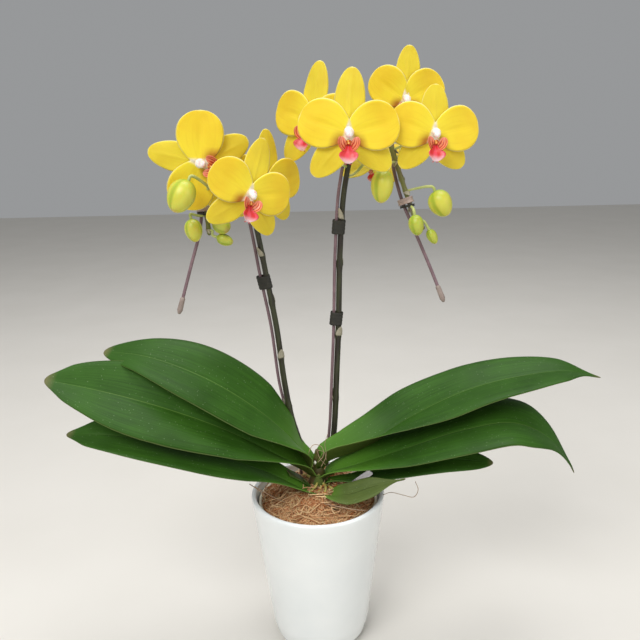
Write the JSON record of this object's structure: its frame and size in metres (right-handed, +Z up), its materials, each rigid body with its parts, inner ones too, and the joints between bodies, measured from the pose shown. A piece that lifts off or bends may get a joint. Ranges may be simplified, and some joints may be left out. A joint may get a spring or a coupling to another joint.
{
  "type": "potted moth orchid",
  "caption": "Yellow moth orchid with two staked, arching flower spikes, strap leaves and coir, standing in a white glazed cover pot.",
  "frame": {"origin": "centre of the cover pot's flat base, on the surface it stands on", "axes": "+Z up, -Y the front that the flowers face, +X to the right seen from the front"},
  "size_m": [0.5207, 0.1445, 0.5782],
  "materials": {
    "glaze": "gloss",
    "nursery_plastic": "satin",
    "coir": "matte",
    "crown": "satin",
    "leaf": "satin",
    "old_leaf": "matte",
    "spike": "satin",
    "stake": "satin",
    "tie": "matte",
    "clip": "satin",
    "label": "satin",
    "bud": "satin",
    "sepal": "matte",
    "petal": "matte",
    "lip": "satin"
  },
  "bodies": {
    "root": {"bud_left_1": "bud", "bud_left_2": "bud", "bud_left_3": "bud", "bud_left_4": "bud", "bud_right_1": "bud", "bud_right_2": "bud", "bud_right_3": "bud", "bud_right_4": "bud", "ceramic_pot": "glaze", "clip_left": "clip", "clip_right": "clip", "coir_medium": "coir", "flower_left_1_lip": "lip", "flower_left_1_petals": "petal", "flower_left_1_sepals": "sepal", "flower_left_2_lip": "lip", "flower_left_2_petals": "petal", "flower_left_2_sepals": "sepal", "flower_left_3_lip": "lip", "flower_left_3_petals": "petal", "flower_left_3_sepals": "sepal", "flower_right_4_lip": "lip", "flower_right_4_petals": "petal", "flower_right_4_sepals": "sepal", "flower_right_5_lip": "lip", "flower_right_5_petals": "petal", "flower_right_5_sepals": "sepal", "flower_right_6_lip": "lip", "flower_right_6_petals": "petal", "flower_right_6_sepals": "sepal", "flower_right_7_lip": "lip", "flower_right_7_petals": "petal", "flower_right_7_sepals": "sepal", "flower_right_8_lip": "lip", "flower_right_8_petals": "petal", "flower_right_8_sepals": "sepal", "flower_spike_left": "spike", "flower_spike_right": "spike", "leaf_left_lower": "leaf", "leaf_left_middle": "leaf", "leaf_left_upper": "leaf", "leaf_right_lower": "leaf", "leaf_right_middle": "leaf", "leaf_right_old": "old_leaf", "leaf_right_upper": "leaf", "nursery_pot": "nursery_plastic", "plant_crown": "crown", "plant_label": "label", "stake_cap_left": "stake", "stake_cap_right": "stake", "stake_left": "stake", "stake_right": "stake", "tie_left": "tie", "tie_right_lower": "tie", "tie_right_upper": "tie"}
  },
  "joints": []
}
